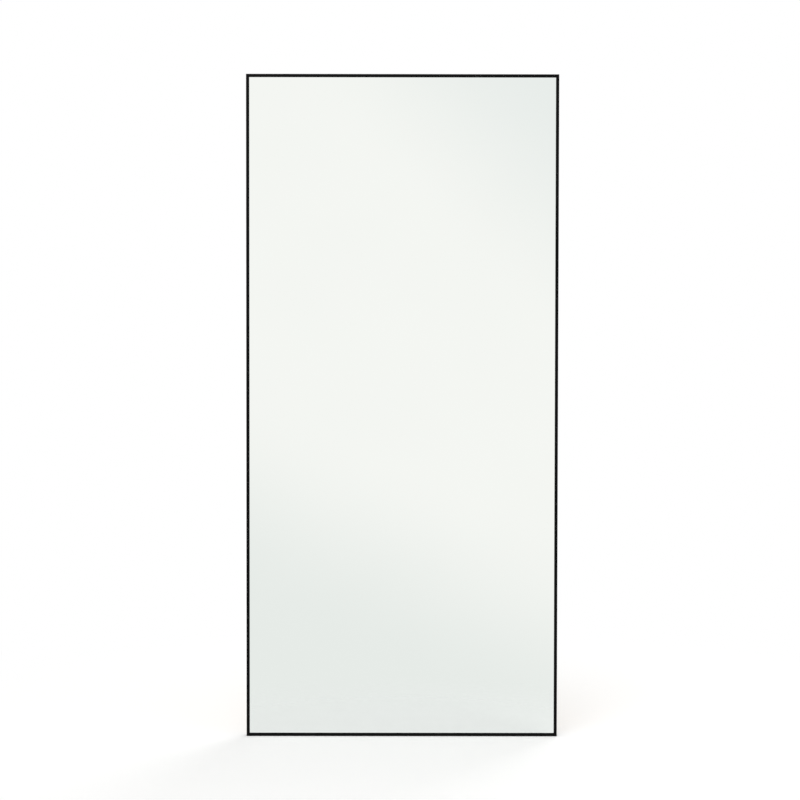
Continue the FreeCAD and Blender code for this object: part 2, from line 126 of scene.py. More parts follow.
def powder_coated_aluminium():
    """Black polyester powder sprayed on extruded aluminium and baked.

    It looks almost black and dull, with a finely pebbled skin that is thinner and smoother on edges. Painted light
    and shade lighten the pebbles' crests against their hollows, and a painted highlight adds to the lighter edges.
    """
    material, tree, place = start_finish("powder_coated_aluminium")
    # Real pebbles are about 0.4 mm; they are drawn at 1.2 mm, because finer ones don't show
    pebbles = add(tree, "ShaderNodeTexNoise", {"Vector": place, "Scale": per_metre(1.2), "Detail": 3})
    # Painted light and shade: the crests are painted lighter than the hollows between them
    painted_crest_light = add(
        tree,
        "ShaderNodeMapRange",
        {"Value": pebbles.outputs["Fac"], "From Min": 0.35, "From Max": 0.65},
    )
    deep = add(
        tree,
        "ShaderNodeMix",
        {
            MIX_FACTOR: painted_crest_light.outputs["Result"],
            MIX_FIRST: linear("#020202"),
            MIX_SECOND: linear("#121212"),
        },
        data_type="RGBA",
    )
    # Every flat that shows lies square to an axis, so a face that doesn't is on a rounded edge
    facing = add(tree, "ShaderNodeNewGeometry")
    size = add(tree, "ShaderNodeVectorMath", {0: facing.outputs["True Normal"]}, operation="ABSOLUTE")
    shares = add(tree, "ShaderNodeSeparateXYZ", {"Vector": size.outputs["Vector"]})
    larger = add(
        tree,
        "ShaderNodeMath",
        {0: shares.outputs["X"], 1: shares.outputs["Y"]},
        operation="MAXIMUM",
    )
    largest = add(
        tree,
        "ShaderNodeMath",
        {0: larger.outputs["Value"], 1: shares.outputs["Z"]},
        operation="MAXIMUM",
    )
    edge = add(
        tree,
        "ShaderNodeMapRange",
        {"Value": largest.outputs["Value"], "From Min": FLAT_SHARE, "From Max": EDGE_SHARE},
    )
    # Rounded edges are lighter, partly from the thinner coat and partly as a painted highlight where they catch
    # the light
    colour = add(
        tree,
        "ShaderNodeMix",
        {
            MIX_FACTOR: edge.outputs["Result"],
            MIX_FIRST: deep.outputs[MIX_RESULT],
            MIX_SECOND: linear("#1b1b1c"),
        },
        data_type="RGBA",
    )
    skin = add(
        tree,
        "ShaderNodeMapRange",
        {
            "Value": pebbles.outputs["Fac"],
            "From Min": NOISE_LOW,
            "From Max": NOISE_HIGH,
            "To Min": 0.46,
            "To Max": 0.58,
        },
    )
    roughness = add(
        tree,
        "ShaderNodeMath",
        {0: edge.outputs["Result"], 1: -0.12, 2: skin.outputs["Result"]},
        operation="MULTIPLY_ADD",
    )
    bump = add(
        tree,
        "ShaderNodeBump",
        {"Height": pebbles.outputs["Fac"], "Strength": 0.3, "Distance": 0.05 * MM},
    )
    shader = add(
        tree,
        "ShaderNodeBsdfPrincipled",
        {
            "Base Color": colour.outputs[MIX_RESULT],
            "Roughness": roughness.outputs["Value"],
            "Specular IOR Level": 0.05,
            "Normal": bump.outputs["Normal"],
        },
    )
    add(tree, "ShaderNodeOutputMaterial", {"Surface": shader.outputs["BSDF"]})
    return material


def silvered_float_glass():
    """Float glass with silver and grey paint laid on its back, and ground edges.

    The face gives a sharp, faintly green reflection, the edges a frosted green, the back a dull grey.
    """
    material, tree, place = start_finish("silvered_float_glass")
    facing = add(tree, "ShaderNodeNewGeometry")
    direction = add(tree, "ShaderNodeSeparateXYZ", {"Vector": facing.outputs["Normal"]})
    # A side is the front or the back where its normal lies this much along Y
    square_on = 0.9
    face = add(tree, "ShaderNodeMath", {0: direction.outputs["Y"], 1: -square_on}, operation="LESS_THAN")
    back = add(tree, "ShaderNodeMath", {0: direction.outputs["Y"], 1: square_on}, operation="GREATER_THAN")
    # The silver's tone drifts over a hand's breadth or more, and the ground edge is sanded at 0.5 mm
    drift = add(tree, "ShaderNodeTexNoise", {"Vector": place, "Scale": per_metre(300), "Detail": 1})
    grit = add(tree, "ShaderNodeTexNoise", {"Vector": place, "Scale": per_metre(0.5), "Detail": 2})
    silver = add(
        tree,
        "ShaderNodeMix",
        {MIX_FACTOR: drift.outputs["Fac"], MIX_FIRST: linear("#f6f9f7"), MIX_SECOND: linear("#f8fbf9")},
        data_type="RGBA",
    )
    ground = add(
        tree,
        "ShaderNodeMix",
        {MIX_FACTOR: grit.outputs["Fac"], MIX_FIRST: linear("#6f9c89"), MIX_SECOND: linear("#9dbfb0")},
        data_type="RGBA",
    )
    edged = add(
        tree,
        "ShaderNodeMix",
        {
            MIX_FACTOR: face.outputs["Value"],
            MIX_FIRST: ground.outputs[MIX_RESULT],
            MIX_SECOND: silver.outputs[MIX_RESULT],
        },
        data_type="RGBA",
    )
    paint = add(
        tree,
        "ShaderNodeMix",
        {MIX_FACTOR: grit.outputs["Fac"], MIX_FIRST: linear("#666c68"), MIX_SECOND: linear("#7a807c")},
        data_type="RGBA",
    )
    colour = add(
        tree,
        "ShaderNodeMix",
        {
            MIX_FACTOR: back.outputs["Value"],
            MIX_FIRST: edged.outputs[MIX_RESULT],
            MIX_SECOND: paint.outputs[MIX_RESULT],
        },
        data_type="RGBA",
    )
    # Wiping leaves a haze on the face that is all but clear; edges and paint scatter light
    haze = add(tree, "ShaderNodeTexNoise", {"Vector": place, "Scale": per_metre(90), "Detail": 4})
    clear = add(
        tree,
        "ShaderNodeMapRange",
        {"Value": haze.outputs["Fac"], "From Min": 0.4, "From Max": 0.8, "To Min": 0.0, "To Max": 0.012},
    )
    roughness = add(
        tree,
        "ShaderNodeMapRange",
        {"Value": face.outputs["Value"], "To Min": 0.55, "To Max": clear.outputs["Result"]},
    )
    unpolished = add(tree, "ShaderNodeMath", {0: 1.0, 1: face.outputs["Value"]}, operation="SUBTRACT")
    bump = add(
        tree,
        "ShaderNodeBump",
        {"Height": grit.outputs["Fac"], "Strength": unpolished.outputs["Value"], "Distance": 0.02 * MM},
    )
    shader = add(
        tree,
        "ShaderNodeBsdfPrincipled",
        {
            "Base Color": colour.outputs[MIX_RESULT],
            "Metallic": face.outputs["Value"],
            "Roughness": roughness.outputs["Result"],
            "Normal": bump.outputs["Normal"],
        },
    )
    add(tree, "ShaderNodeOutputMaterial", {"Surface": shader.outputs["BSDF"]})
    return material


def raw_fibreboard():
    """Medium-density fibreboard, hot-pressed and sanded on its faces.

    It is an even, dull light brown: a felt of short pale fibres with small bark specks and faint lines.
    """
    material, tree, place = start_finish("raw_fibreboard")
    clouds = add(tree, "ShaderNodeTexNoise", {"Vector": place, "Scale": per_metre(120), "Detail": 3})
    mottled = add(
        tree,
        "ShaderNodeMix",
        {MIX_FACTOR: clouds.outputs["Fac"], MIX_FIRST: linear("#a8875f"), MIX_SECOND: linear("#bf9e74")},
        data_type="RGBA",
    )
    # Real fibres are far thinner than the 0.8 mm at which they can be seen here.
    # They lie in all directions, of which three are drawn
    fibre_width = 0.8
    fibre_length = 3.2
    stretch = (1.0, 1.0, fibre_length / fibre_width)
    felt = 0.0
    for lean in (15, -50, 80):
        laid = add(
            tree,
            "ShaderNodeMapping",
            {"Vector": place, "Rotation": (0.0, math.radians(lean), 0.0), "Scale": stretch},
            vector_type="TEXTURE",
        )
        flecks = add(
            tree,
            "ShaderNodeTexNoise",
            {
                "Vector": laid.outputs["Vector"],
                "Scale": per_metre(fibre_width),
                "Detail": 3,
                "Roughness": 0.6,
            },
        )
        fibres = add(tree, "ShaderNodeMath", {0: flecks.outputs["Fac"], 1: felt}, operation="MAXIMUM")
        felt = fibres.outputs["Value"]
    fibre_share = add(
        tree,
        "ShaderNodeMapRange",
        {"Value": felt, "From Min": 0.5, "From Max": 0.78, "To Max": 0.65},
    )
    fibrous = add(
        tree,
        "ShaderNodeMix",
        {
            MIX_FACTOR: fibre_share.outputs["Result"],
            MIX_FIRST: mottled.outputs[MIX_RESULT],
            MIX_SECOND: linear("#ceb48b"),
        },
        data_type="RGBA",
    )
    # Sanding lines run up the board, 40 times as long as they are apart
    line_spacing = 2.5
    upright = add(tree, "ShaderNodeMapping", {"Vector": place, "Scale": (1.0, 1.0, 1 / 40)})
    lines = add(
        tree,
        "ShaderNodeTexNoise",
        {"Vector": upright.outputs["Vector"], "Scale": per_metre(line_spacing), "Detail": 2},
    )
    line_share = add(
        tree,
        "ShaderNodeMapRange",
        {"Value": lines.outputs["Fac"], "From Min": 0.5, "From Max": 0.8, "To Max": 0.3},
    )
    sanded = add(
        tree,
        "ShaderNodeMix",
        {
            MIX_FACTOR: line_share.outputs["Result"],
            MIX_FIRST: fibrous.outputs[MIX_RESULT],
            MIX_SECOND: linear("#96784f"),
        },
        data_type="RGBA",
    )
    bark = add(tree, "ShaderNodeTexNoise", {"Vector": place, "Scale": per_metre(3.2), "Detail": 2})
    bark_share = add(
        tree,
        "ShaderNodeMapRange",
        {"Value": bark.outputs["Fac"], "From Min": 0.69, "From Max": 0.75, "To Max": 0.75},
    )
    colour = add(
        tree,
        "ShaderNodeMix",
        {
            MIX_FACTOR: bark_share.outputs["Result"],
            MIX_FIRST: sanded.outputs[MIX_RESULT],
            MIX_SECOND: linear("#5f4529"),
        },
        data_type="RGBA",
    )
    roughness = add(
        tree,
        "ShaderNodeMapRange",
        {"Value": felt, "From Min": 0.4, "From Max": 0.8, "To Min": 0.92, "To Max": 0.72},
    )
    bump = add(
        tree,
        "ShaderNodeBump",
        {"Height": felt, "Strength": 0.35, "Distance": 0.1 * MM},
    )
    shader = add(
        tree,
        "ShaderNodeBsdfPrincipled",
        {
            "Base Color": colour.outputs[MIX_RESULT],
            "Roughness": roughness.outputs["Result"],
            "Specular IOR Level": 0.25,
            "Normal": bump.outputs["Normal"],
        },
    )
    add(tree, "ShaderNodeOutputMaterial", {"Surface": shader.outputs["BSDF"]})
    return material


def metal_finish(name, tones, patch_mm, roughness_range, scratch_mm):
    """A bare or plated metal: three tones in soft patches, and fine scratches of a fourth tone."""
    material, tree, place = start_finish(name)
    patches = add(
        tree,
        "ShaderNodeTexNoise",
        {"Vector": place, "Scale": per_metre(patch_mm), "Detail": 3, "Distortion": 0.6},
    )
    # The third tone lies in larger patches than the first two
    tint_mm = 2.5 * patch_mm
    tint = add(tree, "ShaderNodeTexNoise", {"Vector": place, "Scale": per_metre(tint_mm), "Detail": 1})
    # Scratches run up the part, as a strap is rolled, ten times as long as they are apart
    drawn = add(tree, "ShaderNodeMapping", {"Vector": place, "Scale": (1.0, 1.0, 1 / 10)})
    scratches = add(
        tree,
        "ShaderNodeTexNoise",
        {
            "Vector": drawn.outputs["Vector"],
            "Scale": per_metre(scratch_mm),
            "Detail": 4,
            "Roughness": 0.65,
        },
    )
    patched = add(
        tree,
        "ShaderNodeMix",
        {MIX_FACTOR: patches.outputs["Fac"], MIX_FIRST: linear(tones[0]), MIX_SECOND: linear(tones[1])},
        data_type="RGBA",
    )
    tint_share = add(
        tree,
        "ShaderNodeMapRange",
        {"Value": tint.outputs["Fac"], "From Min": 0.45, "From Max": 0.75, "To Max": 0.6},
    )
    tinted = add(
        tree,
        "ShaderNodeMix",
        {
            MIX_FACTOR: tint_share.outputs["Result"],
            MIX_FIRST: patched.outputs[MIX_RESULT],
            MIX_SECOND: linear(tones[2]),
        },
        data_type="RGBA",
    )
    scratch_share = add(
        tree,
        "ShaderNodeMapRange",
        {"Value": scratches.outputs["Fac"], "From Min": 0.52, "From Max": 0.72, "To Max": 0.5},
    )
    colour = add(
        tree,
        "ShaderNodeMix",
        {
            MIX_FACTOR: scratch_share.outputs["Result"],
            MIX_FIRST: tinted.outputs[MIX_RESULT],
            MIX_SECOND: linear(tones[3]),
        },
        data_type="RGBA",
    )
    smooth, rough = roughness_range
    roughness = add(
        tree,
        "ShaderNodeMapRange",
        {
            "Value": scratches.outputs["Fac"],
            "From Min": NOISE_LOW,
            "From Max": NOISE_HIGH,
            "To Min": smooth,
            "To Max": rough,
        },
    )
    bump = add(
        tree,
        "ShaderNodeBump",
        {"Height": scratches.outputs["Fac"], "Strength": 0.3, "Distance": 0.03 * MM},
    )
    shader = add(
        tree,
        "ShaderNodeBsdfPrincipled",
        {
            "Base Color": colour.outputs[MIX_RESULT],
            "Metallic": 1.0,
            "Roughness": roughness.outputs["Result"],
            "Normal": bump.outputs["Normal"],
        },
    )
    add(tree, "ShaderNodeOutputMaterial", {"Surface": shader.outputs["BSDF"]})
    return material


def zinc_plated_steel():
    """Pressed steel with a bright zinc coat: cool grey, satin, with faint straw and blue patches."""
    tones = ("#aab0b7", "#cfd2d3", "#c9c2a8", "#868c93")
    return metal_finish("zinc_plated_steel", tones, 5, (0.24, 0.42), 0.5)


def black_oxide_steel():
    """Hardened steel blackened in a hot bath and oiled: dark, with a low oily sheen."""
    tones = ("#1d1e20", "#2a2b2d", "#26231f", "#3d3e40")
    return metal_finish("black_oxide_steel", tones, 3, (0.36, 0.52), 0.4)


def nickel_plated_wire():
    """Bent steel wire with bright nickel: warm silver and glossy, with fine scratches."""
    tones = ("#cbc6ba", "#dcd8ce", "#bdb7a8", "#a7a195")
    return metal_finish("nickel_plated_wire", tones, 6, (0.12, 0.24), 0.3)


def soft_finish(name, tones, grain_mm, roughness_range, relief_mm):
    """A soft, dull material with two tones in a fine grain that also lifts its surface."""
    material, tree, place = start_finish(name)
    grain = add(
        tree,
        "ShaderNodeTexNoise",
        {"Vector": place, "Scale": per_metre(grain_mm), "Detail": 4, "Roughness": 0.6},
    )
    colour = add(
        tree,
        "ShaderNodeMix",
        {MIX_FACTOR: grain.outputs["Fac"], MIX_FIRST: linear(tones[0]), MIX_SECOND: linear(tones[1])},
        data_type="RGBA",
    )
    smooth, rough = roughness_range
    roughness = add(
        tree,
        "ShaderNodeMapRange",
        {
            "Value": grain.outputs["Fac"],
            "From Min": NOISE_LOW,
            "From Max": NOISE_HIGH,
            "To Min": smooth,
            "To Max": rough,
        },
    )
    bump = add(
        tree,
        "ShaderNodeBump",
        {"Height": grain.outputs["Fac"], "Strength": 0.5, "Distance": relief_mm * MM},
    )
    shader = add(
        tree,
        "ShaderNodeBsdfPrincipled",
        {
            "Base Color": colour.outputs[MIX_RESULT],
            "Roughness": roughness.outputs["Result"],
            "Specular IOR Level": 0.3,
            "Normal": bump.outputs["Normal"],
        },
    )
    add(tree, "ShaderNodeOutputMaterial", {"Surface": shader.outputs["BSDF"]})
    return material


def extruded_rubber():
    """Extruded black EPDM rubber: dull and dark, with a greyish bloom."""
    return soft_finish("extruded_rubber", ("#0c0c0c", "#1e1e1d"), 1.5, (0.7, 0.88), 0.05)


def acrylic_foam_tape():
    """Double-sided foam tape: off-white, dull, with open cells about 1 mm across on its cut edges."""
    return soft_finish("acrylic_foam_tape", ("#d6d3c8", "#eeece4"), 1, (0.75, 0.9), 0.2)


def woven_safety_film():
    """Polyethylene film with a woven scrim, stuck to the back of the glass: pale blue-grey, soft gloss."""
    material, tree, place = start_finish("woven_safety_film")
    # The scrim's threads lie 2 mm apart in both directions; at scale 1 a wave repeats every tau / 20
    thread_scale = per_metre(2) * math.tau / 20
    across = add(tree, "ShaderNodeTexWave", {"Vector": place, "Scale": thread_scale}, bands_direction="X")
    upward = add(tree, "ShaderNodeTexWave", {"Vector": place, "Scale": thread_scale}, bands_direction="Z")
    weave = add(
        tree,
        "ShaderNodeMath",
        {0: across.outputs["Fac"], 1: upward.outputs["Fac"]},
        operation="MULTIPLY",
    )
    colour = add(
        tree,
        "ShaderNodeMix",
        {MIX_FACTOR: weave.outputs["Value"], MIX_FIRST: linear("#8b999e"), MIX_SECOND: linear("#aab6ba")},
        data_type="RGBA",
    )
    roughness = add(
        tree,
        "ShaderNodeMapRange",
        {"Value": weave.outputs["Value"], "To Min": 0.3, "To Max": 0.45},
    )
    bump = add(
        tree,
        "ShaderNodeBump",
        {"Height": weave.outputs["Value"], "Strength": 0.3, "Distance": 0.05 * MM},
    )
    shader = add(
        tree,
        "ShaderNodeBsdfPrincipled",
        {
            "Base Color": colour.outputs[MIX_RESULT],
            "Roughness": roughness.outputs["Result"],
            "Normal": bump.outputs["Normal"],
        },
    )
    add(tree, "ShaderNodeOutputMaterial", {"Surface": shader.outputs["BSDF"]})
    return material


def dress_nodes(finishes):
    """Give every CAD node the finish of its slot in the record."""
    for part in frame["record"]["subparts"]:
        mesh = nodes[part["node"]].data
        mesh.materials.clear()
        mesh.materials.append(finishes[part["material_slot"]])


# Screws, turned about the Y axis with their heads towards the wall

# Sizes in millimetres that the CAD screws have, and the thread and recess that those leave out
PANEL_SCREW = {
    "Head Diameter": 5,
    "Head Height": 1.8,
    "Shank Diameter": 3,
    "Shank Length": 8.5,
    "Tip Length": 2,
    "Thread Pitch": 1.2,
    "Recess Width": 2.7,
    "Recess Depth": 1.1,
}
HANGER_SCREW = {
    "Head Diameter": 7,
    "Head Height": 2.2,
    "Shank Diameter": 3.5,
    "Shank Length": 8.7,
    "Tip Length": 2,
    "Thread Pitch": 1.4,
    "Recess Width": 3.6,
    "Recess Depth": 1.4,
}
SET_SCREW = {
    "Shank Diameter": 4,
    "Shank Length": 4.7,
    "Tip Length": 0.6,
    "Thread Pitch": 0.7,
    "Socket Width": 2,
    "Socket Depth": 1.8,
}
# Depth of the thread as a share of the shank's radius
THREAD_SHARE = 0.2
ROD_SIDES = 14
RINGS_PER_SHANK = 38
HEAD_SIDES = 24
HEAD_RINGS = 7
# The dome stops short of a quarter turn, which leaves the head a small flat top
DOME_TURN = math.radians(80)
# Width of the recess's bars as a share of their length, and of its bottom as a share of its top
RECESS_BAR = 0.3
RECESS_TAPER = 0.6
# How much taller the cutter is than the recess
RECESS_OVERRUN = 1.1
# How far up the head the shank starts, and how wide its tip is, as shares of the head and the shank
NECK_SHARE = 0.3
TIP_SHARE = 0.15
MERGE_DISTANCE = 0.001 * MM
SHARP_ANGLE = math.radians(35)
SPIN_SEED = 3


def start_tree(name, sizes):
    """A geometry tree with inputs for the points to stand on, the finish, and each size in metres."""
    tree = bpy.data.node_groups.new(name, "GeometryNodeTree")
    tree.interface.new_socket("Points", in_out="INPUT", socket_type="NodeSocketGeometry")
    tree.interface.new_socket("Finish", in_out="INPUT", socket_type="NodeSocketMaterial")
    for label in sizes:
        tree.interface.new_socket(label, in_out="INPUT", socket_type="NodeSocketFloat")
    tree.interface.new_socket("Screws", in_out="OUTPUT", socket_type="NodeSocketGeometry")
    return tree, add(tree, "NodeGroupInput").outputs


def tapered_rod(tree, given, top):
    """Nodes for a round rod that runs down from a height and tapers at its tip."""
    low = add(tree, "ShaderNodeMath", {0: 0.0, 1: given["Shank Length"]}, operation="SUBTRACT")
    start = add(tree, "ShaderNodeCombineXYZ", {"Z": low.outputs["Value"]})
    end = add(tree, "ShaderNodeCombineXYZ", {"Z": top})
    line = add(
        tree,
        "GeometryNodeCurvePrimitiveLine",
        {"Start": start.outputs["Vector"], "End": end.outputs["Vector"]},
    )
    rings = add(
        tree,
        "GeometryNodeResampleCurve",
        {"Curve": line.outputs["Curve"], "Count": RINGS_PER_SHANK},
    )
    along = add(tree, "GeometryNodeSplineParameter")
    taper = add(
        tree,
        "ShaderNodeMapRange",
        {
            "Value": along.outputs["Length"],
            "From Max": given["Tip Length"],
            "To Min": TIP_SHARE,
            "To Max": 1.0,
        },
    )
    width = add(
        tree,
        "ShaderNodeMath",
        {0: given["Shank Diameter"], 1: taper.outputs["Result"]},
        operation="MULTIPLY",
    )
    outline = add(tree, "GeometryNodeCurvePrimitiveCircle", {"Resolution": ROD_SIDES, "Radius": 0.5})
    rod = add(
        tree,
        "GeometryNodeCurveToMesh",
        {
            "Curve": rings.outputs["Curve"],
            "Profile Curve": outline.outputs["Curve"],
            "Scale": width.outputs["Value"],
            "Fill Caps": True,
        },
    )
    return rod.outputs["Mesh"]


def cut_thread(tree, given, rod):
    """Nodes that draw a rod in along a helix, which leaves a thread as wide as the rod was."""
    # The angle in turns less the height in turns is the same all along a helix
    spot = add(tree, "GeometryNodeInputPosition")
    parts = add(tree, "ShaderNodeSeparateXYZ", {"Vector": spot.outputs["Position"]})
    angle = add(
        tree,
        "ShaderNodeMath",
        {0: parts.outputs["Y"], 1: parts.outputs["X"]},
        operation="ARCTAN2",
    )
    turn = add(tree, "ShaderNodeMath", {0: angle.outputs["Value"], 1: math.tau}, operation="DIVIDE")
    climb = add(
        tree,
        "ShaderNodeMath",
        {0: parts.outputs["Z"], 1: given["Thread Pitch"]},
        operation="DIVIDE",
    )
    phase = add(
        tree,
        "ShaderNodeMath",
        {0: turn.outputs["Value"], 1: climb.outputs["Value"]},
        operation="SUBTRACT",
    )
    wave = add(tree, "ShaderNodeMath", {0: phase.outputs["Value"], 1: 0.5}, operation="PINGPONG")
    depth = add(
        tree,
        "ShaderNodeMapRange",
        {"Value": wave.outputs["Value"], "From Max": 0.5, "To Min": 1 - THREAD_SHARE, "To Max": 1.0},
    )
    factors = add(
        tree,
        "ShaderNodeCombineXYZ",
        {"X": depth.outputs["Result"], "Y": depth.outputs["Result"], "Z": 1.0},
    )
    moved = add(
        tree,
        "ShaderNodeVectorMath",
        {0: spot.outputs["Position"], 1: factors.outputs["Vector"]},
        operation="MULTIPLY",
    )
    threaded = add(
        tree,
        "GeometryNodeSetPosition",
        {"Geometry": rod, "Position": moved.outputs["Vector"]},
    )
    return threaded.outputs["Geometry"]


def domed_head(tree, given):
    """Nodes for a round head that stands on height 0, with a steep side and a flattened top."""
    line = add(tree, "GeometryNodeCurvePrimitiveLine", {"End": (0.0, 0.0, 1.0)})
    rings = add(tree, "GeometryNodeResampleCurve", {"Curve": line.outputs["Curve"], "Count": HEAD_RINGS})
    along = add(tree, "GeometryNodeSplineParameter")
    angle = add(
        tree,
        "ShaderNodeMath",
        {0: along.outputs["Factor"], 1: DOME_TURN},
        operation="MULTIPLY",
    )
    sine = add(tree, "ShaderNodeMath", {0: angle.outputs["Value"]}, operation="SINE")
    rise = add(
        tree,
        "ShaderNodeMapRange",
        {"Value": sine.outputs["Value"], "From Max": math.sin(DOME_TURN), "To Max": given["Head Height"]},
    )
    level = add(tree, "ShaderNodeCombineXYZ", {"Z": rise.outputs["Result"]})
    raised = add(
        tree,
        "GeometryNodeSetPosition",
        {"Geometry": rings.outputs["Curve"], "Position": level.outputs["Vector"]},
    )
    cosine = add(tree, "ShaderNodeMath", {0: angle.outputs["Value"]}, operation="COSINE")
    swell = add(tree, "ShaderNodeMath", {0: cosine.outputs["Value"]}, operation="SQRT")
    width = add(
        tree,
        "ShaderNodeMath",
        {0: swell.outputs["Value"], 1: given["Head Diameter"]},
        operation="MULTIPLY",
    )
    outline = add(tree, "GeometryNodeCurvePrimitiveCircle", {"Resolution": HEAD_SIDES, "Radius": 0.5})
    head = add(
        tree,
        "GeometryNodeCurveToMesh",
        {
            "Curve": raised.outputs["Geometry"],
            "Profile Curve": outline.outputs["Curve"],
            "Scale": width.outputs["Value"],
            "Fill Caps": True,
        },
    )
    return head.outputs["Mesh"]


def cross_recess(tree, given):
    """Nodes for the two tapered bars that are cut out of a head's top to leave a cross recess."""
    deep = add(
        tree,
        "ShaderNodeMath",
        {0: given["Head Height"], 1: given["Recess Depth"]},
        operation="SUBTRACT",
    )
    foot = add(tree, "ShaderNodeCombineXYZ", {"Z": deep.outputs["Value"]})
    # A four-sided cone has its corners on the axes, so half a diagonal is its radius
    wide = add(
        tree,
        "ShaderNodeMath",
        {0: given["Recess Width"], 1: math.sqrt(0.5)},
        operation="MULTIPLY",
    )
    narrow = add(tree, "ShaderNodeMath", {0: wide.outputs["Value"], 1: RECESS_TAPER}, operation="MULTIPLY")
    block = add(
        tree,
        "GeometryNodeMeshCone",
        {
            "Vertices": 4,
            "Radius Top": wide.outputs["Value"],
            "Radius Bottom": narrow.outputs["Value"],
            "Depth": given["Recess Depth"],
        },
    )
    squared = add(
        tree,
        "GeometryNodeTransform",
        {"Geometry": block.outputs["Mesh"], "Rotation": (0.0, 0.0, math.pi / 4)},
    )
    # The cutter stands a little above the head, so that no two faces lie in one plane
    bar = add(
        tree,
        "GeometryNodeTransform",
        {
            "Geometry": squared.outputs["Geometry"],
            "Translation": foot.outputs["Vector"],
            "Scale": (1.0, RECESS_BAR, RECESS_OVERRUN),
        },
    )
    crossing = add(
        tree,
        "GeometryNodeTransform",
        {"Geometry": bar.outputs["Geometry"], "Rotation": (0.0, 0.0, math.pi / 2)},
    )
    return [bar.outputs["Geometry"], crossing.outputs["Geometry"]]


def stand_on_points(tree, given, screw):
    """Nodes that set a screw on each point, give each its own turn, and end in one plain mesh."""
    spin = add(
        tree,
        "FunctionNodeRandomValue",
        {2: 0.0, 3: math.tau, "Seed": SPIN_SEED},
        data_type="FLOAT",
    )
    # A quarter turn about X lays the screw's axis along Y, and the spin is then about Y
    turned = add(tree, "ShaderNodeCombineXYZ", {"X": -math.pi / 2, "Y": spin.outputs[1]})
    set_out = add(
        tree,
        "GeometryNodeInstanceOnPoints",
        {"Points": given["Points"], "Instance": screw, "Rotation": turned.outputs["Vector"]},
    )
    whole = add(tree, "GeometryNodeRealizeInstances", {"Geometry": set_out.outputs["Instances"]})
    bend = add(tree, "GeometryNodeInputMeshEdgeAngle")
    sharp = add(
        tree,
        "ShaderNodeMath",
        {0: bend.outputs["Unsigned Angle"], 1: SHARP_ANGLE},
        operation="GREATER_THAN",
    )
    smooth = add(tree, "GeometryNodeSetShadeSmooth", {"Geometry": whole.outputs["Geometry"]})
    creased = add(
        tree,
        "GeometryNodeSetShadeSmooth",
        {
            "Geometry": smooth.outputs["Geometry"],
            "Selection": sharp.outputs["Value"],
            "Shade Smooth": False,
        },
        domain="EDGE",
    )
    coated = add(
        tree,
        "GeometryNodeSetMaterial",
        {"Geometry": creased.outputs["Geometry"], "Material": given["Finish"]},
    )
    add(tree, "NodeGroupOutput", {"Screws": coated.outputs["Geometry"]})


def cross_head_screw_tree():
    """The tree for round-headed wood screws with a cross recess."""
    tree, given = start_tree("cross_head_screws", PANEL_SCREW)
    # The shank starts inside the head, so that the two join in one solid
    inside = add(tree, "ShaderNodeMath", {0: given["Head Height"], 1: NECK_SHARE}, operation="MULTIPLY")
    shank = cut_thread(tree, given, tapered_rod(tree, given, inside.outputs["Value"]))
    joined = add(
        tree,
        "GeometryNodeMeshBoolean",
        {"Mesh 2": [domed_head(tree, given), shank]},
        operation="UNION",
        solver="EXACT",
    )
    cut = add(
        tree,
        "GeometryNodeMeshBoolean",
        {"Mesh 1": joined.outputs["Mesh"], "Mesh 2": cross_recess(tree, given)},
        operation="DIFFERENCE",
        solver="EXACT",
    )
    stand_on_points(tree, given, cut.outputs["Mesh"])
    return tree


def socket_screw_tree():
    """The tree for headless screws with a hexagon socket in the upper end."""
    tree, given = start_tree("socket_set_screws", SET_SCREW)
    rod = cut_thread(tree, given, tapered_rod(tree, given, 0.0))
    reach = add(
        tree,
        "ShaderNodeMath",
        {0: given["Socket Width"], 1: 0.5 / math.cos(math.pi / 6)},
        operation="MULTIPLY",
    )
    double = add(tree, "ShaderNodeMath", {0: given["Socket Depth"], 1: 2.0}, operation="MULTIPLY")
    hexagon = add(
        tree,
        "GeometryNodeMeshCylinder",
        {"Vertices": 6, "Radius": reach.outputs["Value"], "Depth": double.outputs["Value"]},
    )
    cut = add(
        tree,
        "GeometryNodeMeshBoolean",
        {"Mesh 1": rod, "Mesh 2": [hexagon.outputs["Mesh"]]},
        operation="DIFFERENCE",
        solver="EXACT",
    )
    stand_on_points(tree, given, cut.outputs["Mesh"])
    return tree


def make_screws(name, tree, sizes, finish, seats):
    """One mesh of all the screws of a kind, each with its seat at one of the points."""
    points = bpy.data.meshes.new(f"{name}_seats")
    points.from_pydata(seats, [], [])
    screws = bpy.data.objects.new(name, points)
    bpy.context.scene.collection.objects.link(screws)
    modifier = screws.modifiers.new("screws", "NODES")
    modifier.node_group = tree
    values = {label: size * MM for label, size in sizes.items()}
    values["Finish"] = finish
    for socket in tree.interface.items_tree:
        if socket.name in values:
            modifier[socket.identifier] = values[socket.name]
    evaluated = screws.evaluated_get(bpy.context.evaluated_depsgraph_get())
    plain = bpy.data.meshes.new_from_object(evaluated)
    screws.modifiers.clear()
    screws.data = plain
    shape = bmesh.new()
    shape.from_mesh(plain)
    bmesh.ops.remove_doubles(shape, verts=shape.verts, dist=MERGE_DISTANCE)
    bmesh.ops.recalc_face_normals(shape, faces=shape.faces)
    for face in shape.faces:
        face.material_index = 0
    shape.to_mesh(plain)
    shape.free()
    # The nodes leave an empty slot before the finish
    plain.materials.clear()
    plain.materials.append(finish)
    return screws


# Where the screws stand

FRAME_WIDTH = cad_box[1].x - cad_box[0].x
FRAME_HEIGHT = cad_box[1].z - cad_box[0].z
SLOT_CENTRE = 7.5 * MM
PANEL_SCREW_INSET = 170 * MM
STILE_SCREWS = 5
RAIL_SCREWS = 3
KEY_SCREW_REACHES = (24 * MM, 46 * MM)
HANGER_SCREW_DROPS = (12 * MM, 28 * MM)


